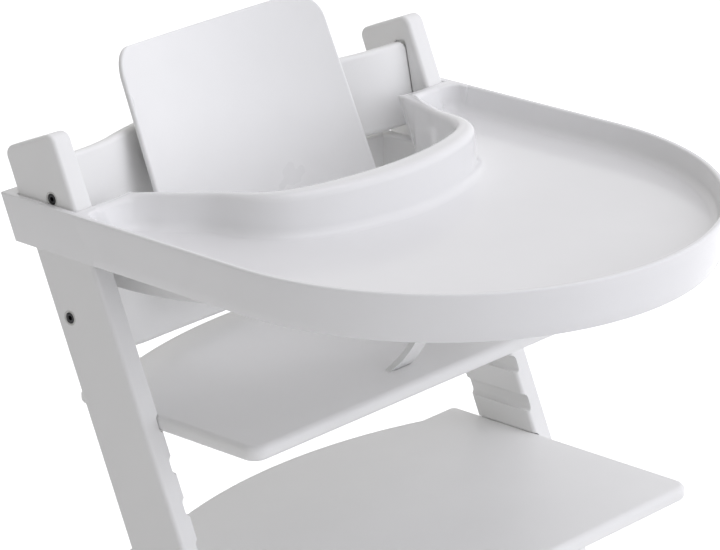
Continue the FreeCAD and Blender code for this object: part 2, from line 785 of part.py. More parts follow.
# ---------------------------------------------------------------- tray
def tray_outline(inset, z, rear_back):
    """D-shaped outline, drawn in by inset, closed by a straight rear edge."""
    radius = tray_radius - inset
    rear_half = tray_rear_half_width - inset
    centre_y = -overall_depth / 2 + tray_radius
    rear = datum_y + rear_back
    edges = [
        Part.makeLine(V(rear_half, rear, z), V(radius, centre_y, z)),
        Part.Arc(V(radius, centre_y, z), V(0, centre_y - radius, z), V(-radius, centre_y, z)).toShape(),
        Part.makeLine(V(-radius, centre_y, z), V(-rear_half, rear, z)),
        Part.makeLine(V(-rear_half, rear, z), V(rear_half, rear, z)),
    ]
    return Part.Wire(edges)


def tray_loft(low_inset, low_z, high_inset, high_z, low_rear, high_rear):
    low = tray_outline(low_inset, low_z, low_rear)
    high = tray_outline(high_inset, high_z, high_rear)
    return Part.makeLoft([low, high], True, True)


def belly_outline(side_wall, front_wall, z):
    """Outline of the belly opening, or of the collar's outer face when grown by its walls."""
    side = cutout_half_width + side_wall
    mouth = cutout_mouth_half_width + side_wall
    front = datum_y - cutout_front - front_wall
    mouth_y = datum_y - cutout_mouth_back
    start_y = datum_y - cutout_side_start
    shoulder_x = cutout_shoulder_width * side
    shoulder_y = front + cutout_shoulder_depth * (start_y - front)
    rear = datum_y + tray_rear_back + overrun
    spline = Part.BSplineCurve()
    spline.interpolate(
        [
            V(mouth, mouth_y, z), V(side, start_y, z), V(shoulder_x, shoulder_y, z), V(0, front, z),
            V(-shoulder_x, shoulder_y, z), V(-side, start_y, z), V(-mouth, mouth_y, z),
        ]
    )
    edges = [
        spline.toShape(),
        Part.makeLine(V(-mouth, mouth_y, z), V(-mouth, rear, z)),
        Part.makeLine(V(-mouth, rear, z), V(mouth, rear, z)),
        Part.makeLine(V(mouth, rear, z), V(mouth, mouth_y, z)),
    ]
    return Part.Wire(edges)


def tray():
    """Moulded tray: rimmed D with a belly opening, a raised collar and pockets round the uprights."""
    bottom = tray_rim_height - tray_skirt
    floor = tray_rim_height - tray_floor_drop
    deck_y = datum_y - tray_deck_front
    body = tray_loft(tray_draft, bottom, 0, tray_rim_height, tray_rear_back - tray_rear_rake, tray_rear_back)
    ahead = box(-reach, reach, -reach, deck_y, 0, reach)
    back = tray_rear_back
    well = tray_loft(tray_wall + tray_floor_draft, floor, tray_wall, tray_rim_height + overrun, back, back)
    below = floor - tray_floor_wall
    hollow = tray_loft(tray_draft + tray_wall, bottom - overrun, tray_wall, below, back, back)
    body = body.cut(well.common(ahead)).cut(hollow.common(ahead))
    # The collar stands round the opening, its top falling towards the rear.
    ring = prism(belly_outline(collar_side_wall, collar_front_wall, bottom), V(0, 0, reach / 4))
    rise = (collar_front_height - collar_rear_height) / (cutout_front - cutout_mouth_back)
    y_front = datum_y - cutout_front - collar_front_wall - overrun
    y_rear = datum_y - cutout_mouth_back
    lid_front = collar_front_height + rise * collar_front_wall
    side_view = [(y_front, bottom), (y_rear, bottom), (y_rear, collar_rear_height), (y_front, lid_front)]
    lid = prism(rounded_outline(side_view, [0] * 4, sideways(-reach / 2)), V(reach, 0, 0))
    collar = ring.common(lid)
    inside = belly_outline(tray_floor_wall, collar_front_wall - tray_floor_wall, bottom - overrun)
    core = prism(inside, V(0, 0, floor - bottom)).common(ahead)
    body = body.fuse(collar.cut(core))
    opening = prism(belly_outline(0, 0, bottom - overrun), V(0, 0, reach / 4))
    body = body.cut(opening)
    body = body.cut(behind_front_faces())
    for sign in (1, -1):
        body = body.cut(upright_pocket(sign))
    return max(body.Solids, key=lambda solid: solid.Volume)


def upright_pocket(sign):
    """Room for one upright, wider than it by the running clearance."""
    gap = tray_clearance / math.sin(lean)
    front_low, front_high = front_y(0) - gap, front_y(reach) - gap
    rear_low, rear_high = front_y(0) + upright_run + gap, front_y(reach) + upright_run + gap
    points = [(front_low, 0), (front_high, reach), (rear_high, reach), (rear_low, 0)]
    x0 = inner_x - overrun
    x1 = half_width + tray_clearance
    shape = prism(rounded_outline(points, [0] * 4, sideways(x0)), V(x1 - x0, 0, 0))
    return shape if sign > 0 else mirrored(shape)


def behind_front_faces():
    """Everything between the uprights and behind their front faces, which the tray leaves free."""
    gap = tray_clearance / math.sin(lean)
    points = [(front_y(0) - gap, 0), (reach, 0), (reach, reach), (front_y(reach) - gap, reach)]
    return prism(rounded_outline(points, [0] * 4, sideways(-inner_x)), V(2 * inner_x, 0, 0))


def tray_clips():
    """Blocks under the tray floor that bear on the front of the rail."""
    low = rail_top + tray_rail_gap
    high = tray_rim_height - tray_floor_drop - tray_floor_wall
    clips = []
    for angle in tray_clip_angles:
        block = box(-tray_clip_length / 2, tray_clip_length / 2, -rail_wall / 2, rail_wall / 2, low, high)
        block = round_edges(block, tray_clip_round, lambda edge: not edge_lies(edge, "z", [low, high]))
        block.translate(V(0, -rail_radius, 0))
        block.rotate(V(0, 0, 0), V(0, 0, 1), angle)
        block.translate(V(0, rail_centre_y, 0))
        clips.append(block)
    return clips


# ---------------------------------------------------------------- crossbars and crosspiece
def crossbar(place):
    """Steel bar between the uprights, tapped at both ends."""
    y, z = place
    bar = rod(crossbar_radius, V(-inner_x, y, z), V(inner_x, y, z))
    for sign in (1, -1):
        end = V(sign * (inner_x + overrun), y, z)
        inward = V(-sign * (overrun + crossbar_thread_depth), 0, 0)
        bar = bar.cut(rod(bolt_radius + thread_clearance, end, end + inward))
    return bar


def crosspiece():
    """Wooden piece between the floor runners."""
    half = crosspiece_thickness / 2
    beam = box(
        -inner_x, inner_x, crosspiece_y - half, crosspiece_y + half,
        crosspiece_z - crosspiece_height / 2, crosspiece_z + crosspiece_height / 2,
    )
    beam = round_edges(beam, crosspiece_round, lambda edge: not edge_lies(edge, "x", [-inner_x, inner_x]))
    for sign in (1, -1):
        end = V(sign * (inner_x + overrun), crosspiece_y, crosspiece_z)
        inward = V(-sign, 0, 0)
        beam = beam.cut(rod(insert_radius, end, end + inward * (overrun + insert_length)))
        for offset in (-dowel_spread, dowel_spread):
            start = end + V(0, 0, offset)
            beam = beam.cut(rod(dowel_radius, start, start + inward * (overrun + dowel_length / 2)))
    return beam


def dowel(offset):
    start = V(inner_x - dowel_length / 2, crosspiece_y, crosspiece_z + offset)
    end = start + V(dowel_length, 0, 0)
    peg = rod(dowel_radius, start, end)
    return round_edges(peg, dowel_round, lambda edge: edge_lies(edge, "x", [start.x, end.x]))


# ---------------------------------------------------------------- write the nodes
right_upright, right_runner = right_side()
export("right_upright", right_upright)
export("left_upright", mirrored(right_upright))
export("right_floor_runner", right_runner)
export("left_floor_runner", mirrored(right_runner))

seat = seat_plate()
export("seat_plate", seat)
export("foot_plate", plate(footplate_height, datum_y - footplate_front, datum_y + footplate_rear))

upper_board = back_board(upper_board_height, upper_board_centre, upper_bolt, 0)
lower_board = back_board(lower_board_height, lower_board_centre, lower_bolt, lower_board_belly)
export("upper_back_board", upper_board)
export("lower_back_board", lower_board)


export("back_board_bolts", *both_sides([bolt(upper_bolt), bolt(lower_bolt)]))
export("crossbar_bolts", *both_sides([bolt(upper_bar), bolt(lower_bar)]))
export("crosspiece_bolts", *both_sides([bolt(crosspiece_bolt)]))
export("bolt_rings", *both_sides([bolt_ring(place) for place in upright_bolts + (crosspiece_bolt,)]))
board_end_x = inner_x + board_seat_depth
export(
    "board_inserts",
    *both_sides([threaded_insert(board_end_x, place, insert_length) for place in (upper_bolt, lower_bolt)]),
)


export("upper_crossbar", crossbar(upper_bar))
export("lower_crossbar", crossbar(lower_bar))


export("floor_crosspiece", crosspiece())
export("crosspiece_inserts", *both_sides([threaded_insert(inner_x, crosspiece_bolt, insert_length)]))
export("crosspiece_dowels", *both_sides([dowel(-dowel_spread), dowel(dowel_spread)]))

front_place, rear_place = glide_places()
export("front_glides", *both_sides([glide(*front_place)]))
export("rear_glides", *both_sides([glide(*rear_place)]))

export("baby_back", baby_back())
export("back_hook", back_hook())
export("baby_rail", baby_rail())
export("crotch_tongue", crotch_tongue())
export("tongue_latch", tongue_latch())
export("tray", tray())
export("tray_clips", *tray_clips())
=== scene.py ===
import bmesh
import bpy
import math
import numpy as np
from mathutils import Matrix, Vector


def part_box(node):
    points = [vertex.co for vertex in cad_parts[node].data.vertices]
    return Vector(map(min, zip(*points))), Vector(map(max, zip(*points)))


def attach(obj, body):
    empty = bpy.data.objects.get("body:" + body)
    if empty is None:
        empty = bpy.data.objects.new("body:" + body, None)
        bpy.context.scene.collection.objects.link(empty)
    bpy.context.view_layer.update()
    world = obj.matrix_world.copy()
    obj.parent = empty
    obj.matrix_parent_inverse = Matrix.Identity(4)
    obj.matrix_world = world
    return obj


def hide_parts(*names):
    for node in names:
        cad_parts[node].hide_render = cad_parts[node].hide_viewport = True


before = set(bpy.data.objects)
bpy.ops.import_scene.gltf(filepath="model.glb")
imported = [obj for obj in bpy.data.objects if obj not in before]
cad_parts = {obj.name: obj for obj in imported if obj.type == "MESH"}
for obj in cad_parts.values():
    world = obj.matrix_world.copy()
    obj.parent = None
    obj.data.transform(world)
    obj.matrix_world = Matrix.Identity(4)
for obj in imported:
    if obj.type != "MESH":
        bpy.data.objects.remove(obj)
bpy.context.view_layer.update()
mm = 0.001

# ---------------------------------------------------------------- leaning sides
# Two solid beech sides, each an upright and a floor runner glued on a mitre. Every long edge is
# rounded over, and the whole side is sprayed with a white satin lacquer that just lets the grain
# be felt along the wood.


def finish_material(name, roughness):
    """Empty material with one shader; gives back the material, its nodes, links and shader."""
    material = bpy.data.materials.new(name)
    material.use_nodes = True
    nodes, links = material.node_tree.nodes, material.node_tree.links
    nodes.clear()
    shader = nodes.new("ShaderNodeBsdfPrincipled")
    output = nodes.new("ShaderNodeOutputMaterial")
    links.new(shader.outputs["BSDF"], output.inputs["Surface"])
    shader.inputs["Roughness"].default_value = roughness
    return material, nodes, links, shader


unstretched = (1, 1, 1)
along_grain = 0.06                              # how a noise is drawn out along the grain
noise_low, noise_high = 0.3, 0.7                # range that most of a noise lies in
bump_strength = 0.6


def pattern(nodes, links, stretch, scale, detail):
    """Noise on the piece's own coordinates, stretched along its axes."""
    place = nodes.new("ShaderNodeTexCoord")
    mapping = nodes.new("ShaderNodeMapping")
    mapping.inputs["Scale"].default_value = stretch
    noise = nodes.new("ShaderNodeTexNoise")
    noise.inputs["Scale"].default_value = scale
    noise.inputs["Detail"].default_value = detail
    links.new(place.outputs["Object"], mapping.inputs["Vector"])
    links.new(mapping.outputs["Vector"], noise.inputs["Vector"])
    return noise.outputs["Fac"]


def spread(nodes, links, value, low, high):
    """Map a noise onto a range."""
    ranged = nodes.new("ShaderNodeMapRange")
    ranged.inputs["From Min"].default_value = noise_low
    ranged.inputs["From Max"].default_value = noise_high
    ranged.inputs["To Min"].default_value = low
    ranged.inputs["To Max"].default_value = high
    links.new(value, ranged.inputs["Value"])
    return ranged.outputs["Result"]


def tint(nodes, links, value, first, second):
    """Colour that wanders between two shades with a noise."""
    ramp = nodes.new("ShaderNodeValToRGB")
    ramp.color_ramp.elements[0].position = 0.35
    ramp.color_ramp.elements[1].position = 0.65
    ramp.color_ramp.elements[0].color = (*first, 1)
    ramp.color_ramp.elements[1].color = (*second, 1)
    links.new(value, ramp.inputs["Fac"])
    return ramp.outputs["Color"]


def relief(nodes, links, shader, heights, distances):
    """Stack bumps of the given depths under a shader."""
    below = None
    for height, distance in zip(heights, distances):
        bump = nodes.new("ShaderNodeBump")
        bump.inputs["Strength"].default_value = bump_strength
        bump.inputs["Distance"].default_value = distance
        links.new(height, bump.inputs["Height"])
        if below is not None:
            links.new(below, bump.inputs["Normal"])
        below = bump.outputs["Normal"]
    links.new(below, shader.inputs["Normal"])


def lacquered_wood(name, grain_axis):
    """White satin lacquer over beech whose grain runs along one axis of the chair."""
    material, nodes, links, shader = finish_material(name, roughness=0.4)
    stretch = [1.0, 1.0, 1.0]
    stretch[grain_axis] = along_grain
    grain = pattern(nodes, links, stretch, scale=420, detail=5)
    cloud = pattern(nodes, links, unstretched, scale=7, detail=3)
    mottle = pattern(nodes, links, unstretched, scale=900, detail=2)
    colour = tint(nodes, links, cloud, first=(0.85, 0.85, 0.845), second=(0.88, 0.88, 0.875))
    links.new(colour, shader.inputs["Base Color"])
    links.new(spread(nodes, links, cloud, low=0.36, high=0.46), shader.inputs["Roughness"])
    relief(nodes, links, shader, [grain, mottle], [0.10 * mm, 0.03 * mm])
    return material


def finish_node(node, material):
    """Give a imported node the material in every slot."""
    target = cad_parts[node]
    for slot in target.material_slots:
        slot.material = material


upright_lacquer = lacquered_wood("upright_lacquer", grain_axis=2)
runner_lacquer = lacquered_wood("runner_lacquer", grain_axis=1)
for side in ("right", "left"):
    finish_node(side + "_upright", upright_lacquer)
    finish_node(side + "_floor_runner", runner_lacquer)

# ---------------------------------------------------------------- floor crosspiece
# A lacquered beech rail between the two runners. Two dowels and one bolt in a steel sleeve hold
# each end.

cross_lacquer = lacquered_wood("cross_lacquer", grain_axis=0)
finish_node("floor_crosspiece", cross_lacquer)


def bare_beech():
    """Beech without lacquer, its grain along the x axis."""
    material, nodes, links, shader = finish_material("bare_beech", roughness=0.6)
    grain = pattern(nodes, links, (0.1, 1, 1), scale=300, detail=4)
    colour = tint(nodes, links, grain, first=(0.62, 0.44, 0.27), second=(0.72, 0.55, 0.36))
    links.new(colour, shader.inputs["Base Color"])
    relief(nodes, links, shader, [grain], [0.15 * mm])
    return material


def turned_steel(name, colour, roughness):
    """Machined steel with fine rings round the x axis."""
    material, nodes, links, shader = finish_material(name, roughness)
    rings = pattern(nodes, links, (12, 1, 1), scale=500, detail=2)
    groove_colour = [0.85 * c for c in colour]
    links.new(tint(nodes, links, rings, colour, groove_colour), shader.inputs["Base Color"])
    shader.inputs["Metallic"].default_value = 1.0
    relief(nodes, links, shader, [rings], [0.02 * mm])
    return material


zinc = turned_steel("zinc_steel", colour=(0.60, 0.61, 0.62), roughness=0.35)
finish_node("crosspiece_dowels", bare_beech())
finish_node("crosspiece_inserts", zinc)
finish_node("board_inserts", zinc)

# ---------------------------------------------------------------- glides
# Four grey plastic strips pegged into the undersides of the runners, so that the chair slides
# when the child pushes back.


def moulded(name, colour, roughness, peel, texture_scale):
    """Moulded plastic: even colour, a faint peel in the gloss and a trace of handling."""
    material, nodes, links, shader = finish_material(name, roughness)
    haze = pattern(nodes, links, unstretched, scale=9, detail=4)
    skin = pattern(nodes, links, unstretched, texture_scale, detail=3)
    handled = [0.975 * c for c in colour]
    links.new(tint(nodes, links, haze, handled, colour), shader.inputs["Base Color"])
    gloss = spread(nodes, links, haze, low=roughness - 0.03, high=roughness + 0.04)
    links.new(gloss, shader.inputs["Roughness"])
    relief(nodes, links, shader, [skin], [peel])
    return material


glide_plastic = moulded(
    "glide_plastic", colour=(0.62, 0.62, 0.61), roughness=0.5, peel=0.05 * mm, texture_scale=700,
)
finish_node("front_glides", glide_plastic)
finish_node("rear_glides", glide_plastic)

# ---------------------------------------------------------------- crossbars
# Two round steel bars, powder coated white, that the side bolts draw the uprights against to
# clamp the plates.

powder = moulded(
    "powder_coat", colour=(0.85, 0.85, 0.85), roughness=0.42, peel=0.12 * mm, texture_scale=1500,
)
finish_node("upper_crossbar", powder)
finish_node("lower_crossbar", powder)

# ---------------------------------------------------------------- back boards
# Two boards pressed from beech veneers over a bent mould and lacquered. Their ends sit in shallow
# recesses in the uprights.

finish_node("upper_back_board", cross_lacquer)
finish_node("lower_back_board", cross_lacquer)

# ---------------------------------------------------------------- side bolts and their rings
# Black hex socket bolts, sunk level with the sides inside a pale plastic ring: two into the back
# boards, two into the crossbars and one into the crosspiece on each side.

head_radius = 4.7 * mm
head_height = 5.0 * mm
head_corner = 0.6 * mm
ring_width = 1.6 * mm
ring_height = 2.0 * mm
ring_gap = 0.2 * mm                             # between a bolt's head and its ring
ring_round = 0.4 * mm
socket_flats = 4.0 * mm
socket_depth = 3.0 * mm
shank_radius = 3.0 * mm
shank_length = 15.5 * mm
head_sides = 40
shank_sides = 24
ring_sides = 56


def middle(node):
    """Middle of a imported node's box."""
    low, high = [Vector(corner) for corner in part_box(node)]
    return (low + high) / 2


bolt_low, bolt_high = [Vector(corner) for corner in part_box("back_board_bolts")]
upper_bolt = (bolt_high.y - head_radius, bolt_high.z - head_radius)
lower_bolt = (bolt_low.y + head_radius, bolt_low.z + head_radius)
head_end_x = bolt_high.x
side_places = [upper_bolt, lower_bolt]
for bar in ("upper_crossbar", "lower_crossbar", "floor_crosspiece"):
    side_places.append((middle(bar).y, middle(bar).z))


def point_cloud(name, positions, facings):
    """Mesh of loose points, each with the way it faces."""
    mesh = bpy.data.meshes.new(name)
    mesh.from_pydata(positions, [], [])
    facing = mesh.attributes.new("facing", "FLOAT_VECTOR", "POINT")
    for index, direction in enumerate(facings):
        facing.data[index].vector = direction
    holder = bpy.data.objects.new(name, mesh)
    bpy.context.scene.collection.objects.link(holder)
    return holder


class Tree:
    """A geometry tree under construction."""

    def __init__(self, name, sizes):
        self.group = bpy.data.node_groups.new(name, "GeometryNodeTree")
        face = self.group.interface
        face.new_socket("Geometry", in_out="INPUT", socket_type="NodeSocketGeometry")
        self.sockets = {}
        for label, value in sizes.items():
            kind = "NodeSocketMaterial" if value is None else "NodeSocketFloat"
            socket = face.new_socket(label, in_out="INPUT", socket_type=kind)
            self.sockets[label] = socket.identifier
        face.new_socket("Geometry", in_out="OUTPUT", socket_type="NodeSocketGeometry")
        self.source = self.group.nodes.new("NodeGroupInput")
        self.sink = self.group.nodes.new("NodeGroupOutput")

    def add(self, kind, **inputs):
        """Add a node and feed its inputs by name, with _ for a space."""
        node = self.group.nodes.new(kind)
        for label, value in inputs.items():
            self.feed(node, label.replace("_", " "), value)
        return node

    def feed(self, node, label, value):
        """Link an input to a size's name or to a socket, or else set it to the value."""
        socket = next(s for s in node.inputs if s.name == label and s.enabled)
        if isinstance(value, str) and value in self.sockets:
            self.group.links.new(self.source.outputs[value], socket)
        elif hasattr(value, "links"):
            self.group.links.new(value, socket)
        else:
            socket.default_value = value

    def maths(self, operation, first, second):
        """Result of an operation on two sizes, sockets or numbers."""
        node = self.group.nodes.new("ShaderNodeMath")
        node.operation = operation
        for index, value in enumerate((first, second)):
            if isinstance(value, str):
                self.group.links.new(self.source.outputs[value], node.inputs[index])
            elif hasattr(value, "links"):
                self.group.links.new(value, node.inputs[index])
            else:
                node.inputs[index].default_value = value
        return node.outputs[0]

    def raised(self, geometry, height):
        """Move geometry along its own z."""
        vector = self.add("ShaderNodeCombineXYZ", Z=height)
        moved = self.add("GeometryNodeTransform", Geometry=geometry, Translation=vector.outputs[0])
        return moved.outputs[0]

    def place_and_end(self, geometry):
        """Stand geometry on every point, facing its way, and end the tree."""
        facing = self.group.nodes.new("GeometryNodeInputNamedAttribute")
        facing.data_type = "FLOAT_VECTOR"
        facing.inputs["Name"].default_value = "facing"
        align = self.group.nodes.new("FunctionNodeAlignRotationToVector")
        align.axis = "Z"
        self.group.links.new(facing.outputs[0], align.inputs["Vector"])
        spots = self.add(
            "GeometryNodeInstanceOnPoints",
            Points=self.source.outputs[0], Instance=geometry, Rotation=align.outputs[0],
        )
        real = self.add("GeometryNodeRealizeInstances", Geometry=spots.outputs[0])
        painted = self.add("GeometryNodeSetMaterial", Geometry=real.outputs[0], Material="Material")
        self.group.links.new(painted.outputs[0], self.sink.inputs[0])


def grown(name, tree, holder, sizes):
    """Run a tree on a holder and keep the result as a plain mesh."""
    modifier = holder.modifiers.new(name, "NODES")
    modifier.node_group = tree.group
    for label, value in sizes.items():
        modifier[tree.sockets[label]] = value
    depsgraph = bpy.context.evaluated_depsgraph_get()
    mesh = bpy.data.meshes.new_from_object(holder.evaluated_get(depsgraph))
    mesh.name = name
    piece = bpy.data.objects.new(name, mesh)
    bpy.context.scene.collection.objects.link(piece)
    holder.modifiers.remove(modifier)
    bpy.data.objects.remove(holder)
    return piece


def bolt_tree():
    """Head with a chamfered rim and a hex socket, on a plain shank, its face at the point."""
    labels = ("Radius", "Height", "Chamfer", "Socket", "Depth", "Shank", "Length")
    tree = Tree("hex_bolts", {**dict.fromkeys(labels, 1.0), "Material": None})
    barrel_height = tree.maths("SUBTRACT", "Height", "Chamfer")
    barrel = tree.add(
        "GeometryNodeMeshCylinder", Vertices=head_sides, Radius="Radius", Depth=barrel_height,
    )
    top_radius = tree.maths("SUBTRACT", "Radius", "Chamfer")
    rim = tree.add(
        "GeometryNodeMeshCone",
        Vertices=head_sides, Radius_Top=top_radius, Radius_Bottom="Radius", Depth="Chamfer",
    )
    barrel_z = tree.maths("MULTIPLY", tree.maths("ADD", "Height", "Chamfer"), -0.5)
    rim_z = tree.maths("MULTIPLY", "Chamfer", -1.0)
    shank_z = tree.maths("SUBTRACT", tree.maths("MULTIPLY", "Length", -0.5), "Height")
    shank = tree.add(
        "GeometryNodeMeshCylinder", Vertices=shank_sides, Radius="Shank", Depth="Length",
    )
    union = tree.group.nodes.new("GeometryNodeMeshBoolean")
    union.operation = "UNION"
    for part in (
        tree.raised(barrel.outputs[0], barrel_z),
        tree.raised(rim.outputs[0], rim_z),
        tree.raised(shank.outputs[0], shank_z),
    ):
        tree.group.links.new(part, union.inputs["Mesh 2"])
    hexagon_radius = tree.maths("DIVIDE", "Socket", math.sqrt(3))
    hexagon_depth = tree.maths("MULTIPLY", "Depth", 2.0)
    hexagon = tree.add(
        "GeometryNodeMeshCylinder", Vertices=6, Radius=hexagon_radius, Depth=hexagon_depth,
    )
    cut = tree.group.nodes.new("GeometryNodeMeshBoolean")
    cut.operation = "DIFFERENCE"
    tree.group.links.new(union.outputs[0], cut.inputs["Mesh 1"])
    tree.group.links.new(hexagon.outputs[0], cut.inputs["Mesh 2"])
    tree.place_and_end(cut.outputs[0])
    return tree


def ring_tree():
    """Flat ring with rounded edges, its outer face at the point."""
    labels = ("Radius", "Width", "Height", "Round")
    tree = Tree("side_rings", {**dict.fromkeys(labels, 1.0), "Material": None})
    path = tree.add("GeometryNodeCurvePrimitiveCircle", Resolution=ring_sides, Radius="Radius")
    section = tree.add(
        "GeometryNodeCurvePrimitiveQuadrilateral", Width="Width", Height="Height",
    )
    fillet = tree.group.nodes.new("GeometryNodeFilletCurve")
    fillet.mode = "POLY"
    tree.feed(fillet, "Curve", section.outputs[0])
    tree.feed(fillet, "Radius", "Round")
    fillet.inputs["Count"].default_value = 3
    ring = tree.add(
        "GeometryNodeCurveToMesh", Curve=path.outputs[0], Profile_Curve=fillet.outputs[0],
    )
    sunk = tree.maths("MULTIPLY", "Height", -0.5)
    tree.place_and_end(tree.raised(ring.outputs[0], sunk))
    return tree


def on_both_sides(x):
    """Places and facings of the bolts on the right and the left side."""
    positions = [(sign * x, y, z) for sign in (1, -1) for y, z in side_places]
    facings = [(sign, 0, 0) for sign in (1, -1) for place in side_places]
    return positions, facings


def black_oxide():
    """Blackened steel with a little wear."""
    material, nodes, links, shader = finish_material("black_oxide", roughness=0.38)
    wear = pattern(nodes, links, unstretched, scale=900, detail=4)
    colour = tint(nodes, links, wear, first=(0.012, 0.012, 0.013), second=(0.03, 0.03, 0.032))
    links.new(colour, shader.inputs["Base Color"])
    links.new(spread(nodes, links, wear, low=0.3, high=0.48), shader.inputs["Roughness"])
    shader.inputs["Metallic"].default_value = 0.6
    relief(nodes, links, shader, [wear], [0.03 * mm])
    return material


bolt_sizes = {
    "Radius": head_radius, "Height": head_height, "Chamfer": head_corner, "Socket": socket_flats,
    "Depth": socket_depth, "Shank": shank_radius, "Length": shank_length, "Material": black_oxide(),
}
bolt_points = point_cloud("bolt_points", *on_both_sides(head_end_x))
side_bolts = grown("side_bolts", bolt_tree(), bolt_points, bolt_sizes)
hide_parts("back_board_bolts", "crossbar_bolts", "crosspiece_bolts")
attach(side_bolts, "chair_frame")

ring_face_x = Vector(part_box("bolt_rings")[1]).x
ring_plastic = moulded(
    "ring_plastic", colour=(0.60, 0.60, 0.58), roughness=0.4, peel=0.03 * mm, texture_scale=900,
)
ring_sizes = {
    "Radius": head_radius + ring_gap + ring_width / 2, "Width": ring_width,
    "Height": ring_height, "Round": ring_round, "Material": ring_plastic,
}
ring_points = point_cloud("ring_points", *on_both_sides(ring_face_x))
side_rings = grown("side_rings", ring_tree(), ring_points, ring_sizes)
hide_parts("bolt_rings")
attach(side_rings, "chair_frame")

# ---------------------------------------------------------------- seat plate and footplate
# Pressed beech plates with straight fronts and bowed rear edges, lacquered all over. Their side
# edges slide in the grooves of the uprights.

finish_node("seat_plate", cross_lacquer)
finish_node("foot_plate", cross_lacquer)

# ---------------------------------------------------------------- baby back
# A thin moulded plastic shell that cups the child's back. The hook behind it is a moulding of its
# own and hangs over the upper back board.

shell_plastic = moulded(
    "shell_plastic", colour=(0.87, 0.87, 0.87), roughness=0.3, peel=0.05 * mm, texture_scale=500,
)
finish_node("baby_back", shell_plastic)
finish_node("back_hook", shell_plastic)

# ---------------------------------------------------------------- baby rail and crotch tongue
# A moulded bow in front of the child with flat ends at the back boards. Its tongue goes down
# through the seat, where a latch holds it.

rail_plastic = moulded(
    "rail_plastic", colour=(0.84, 0.84, 0.835), roughness=0.42, peel=0.06 * mm, texture_scale=600,
)
for node in ("baby_rail", "crotch_tongue", "tongue_latch"):
    finish_node(node, rail_plastic)

# ---------------------------------------------------------------- tray
# One glossy injection moulding: a round-fronted well inside a thin upright rim, a raised collar
# round the child's opening, decks before the uprights, and a sleeve that grips each upright.

tray_low = Vector(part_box("tray")[0])
front_corner_y = upper_bolt[0] - 1.0 * mm       # the uprights' top front corner
upright_top_z = 0.790
upright_depth = 62.5 * mm
upright_lean = math.radians(67)
lean_run = 1 / math.tan(upright_lean)           # the uprights' rearward travel per height
inner_x = Vector(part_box("right_upright")[0]).x
rim_z = 0.729                                   # the rim's top
skirt_z = Vector(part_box("tray_clips")[0]).z     # the skirt's foot
under_z = Vector(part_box("tray_clips")[1]).z     # the underside of the well's floor
floor_wall = 3 * mm
well_z = under_z + floor_wall
round_radius = 0.240                            # of the round front
rear_half = 0.2368                              # half the width at the sleeves' rear ends
round_centre_y = tray_low.y + round_radius
sleeve_end_y = front_corner_y + 56 * mm
deck_y = front_corner_y - 37 * mm               # the well's rear edge
front_play = 0.7 * mm                           # between the decks' rear edge and the uprights
rear_edge_y = front_corner_y - (upright_top_z - rim_z) * lean_run - front_play
side_draft = 5.0 / 42.0                         # how far the skirt draws in per drop
rim_width = 5.6 * mm
collar_side_wall = 10 * mm
collar_front_wall = 24 * mm
# The opening's edge where its collar begins, at its widest and at its front.
mouth = (inner_x - 41 * mm, front_corner_y - 30 * mm)
opening_side = (inner_x - 69 * mm, front_corner_y - 88 * mm)
opening_front = front_corner_y - 170 * mm
shoulder_in = 0.74                              # the opening's shoulder, as shares of its side
shoulder_back = 0.28
collar_low_z = rim_z + 2 * mm                   # the collar's crest at the mouth
collar_high_z = rim_z + 18 * mm                 # and at its front
edge_round = 1.9 * mm                           # rounding of the rim and the decks' edges
crest_round = 7 * mm                            # rounding of the collar's crest
crest_reach = 35 * mm                           # the crest's rounding grows over this length
ramp_round = 8 * mm                             # rounding at the head of the rear ramp
floor_bend = 8 * mm                             # rounding between the well's wall and its floor
wall_slope = 1.2 * mm                           # the well's wall draws in by this much
ramp_slope = 7 * mm                             # the rear ramp draws in by this much
floor_lap = 1.5 * mm                            # a section runs this far on into the floor
round_share = 0.42                              # most of a wall's top that one rounding takes
rim_wall = 4.5 * mm
deck_wall = 3 * mm
well_corner = 16 * mm                           # bend of the well's rear corner
fan_reach = 24 * mm                             # the collar's rear end is fanned out this far
fan_run = 26 * mm
ramp_in_steps = 5                               # stations over which the ramp comes and goes
ramp_out_steps = 8
front_stations = 56                             # stations on each stretch of the edge
side_stations = 16
corner_stations = 9
deck_stations = 9
fan_stations = 17
opening_points = 70
spline_steps = 60
floor_arc, edge_arc = 7, 6                      # points on the roundings of a section
weld = 0.02 * mm


def side_x(y):
    """Half width of the tray at a place beside or behind the round front."""
    share = (sleeve_end_y - y) / (sleeve_end_y - round_centre_y)
    return rear_half + (round_radius - rear_half) * share


def curve_through(points, count):
    """Even points on a smooth curve through the given ones."""
    points = [np.array(p, float) for p in points]
    padded = [2 * points[0] - points[1]] + points + [2 * points[-1] - points[-2]]
    fine = []
    for a, b, c, d in zip(padded, padded[1:], padded[2:], padded[3:]):
        for t in np.linspace(0, 1, spline_steps, endpoint=False):
            square, cube = 2 * a - 5 * b + 4 * c - d, 3 * b - a - 3 * c + d
            fine.append(0.5 * (2 * b + (c - a) * t + square * t**2 + cube * t**3))
    fine.append(points[-1])
    return resampled(fine, count)


def resampled(line, count):
    """The same line with evenly spaced points."""
    line = np.array(line)
    steps = np.linalg.norm(np.diff(line, axis=0), axis=1)
    along = np.concatenate([[0], np.cumsum(steps)])
    wanted = np.linspace(0, along[-1], count)
    return np.stack([np.interp(wanted, along, line[:, axis]) for axis in (0, 1)], axis=1)


def left_hand(line):
    """Unit normals on the left of a line."""
    run = np.gradient(line, axis=0)
    run /= np.linalg.norm(run, axis=1)[:, None]
    return np.stack([-run[:, 1], run[:, 0]], axis=1)


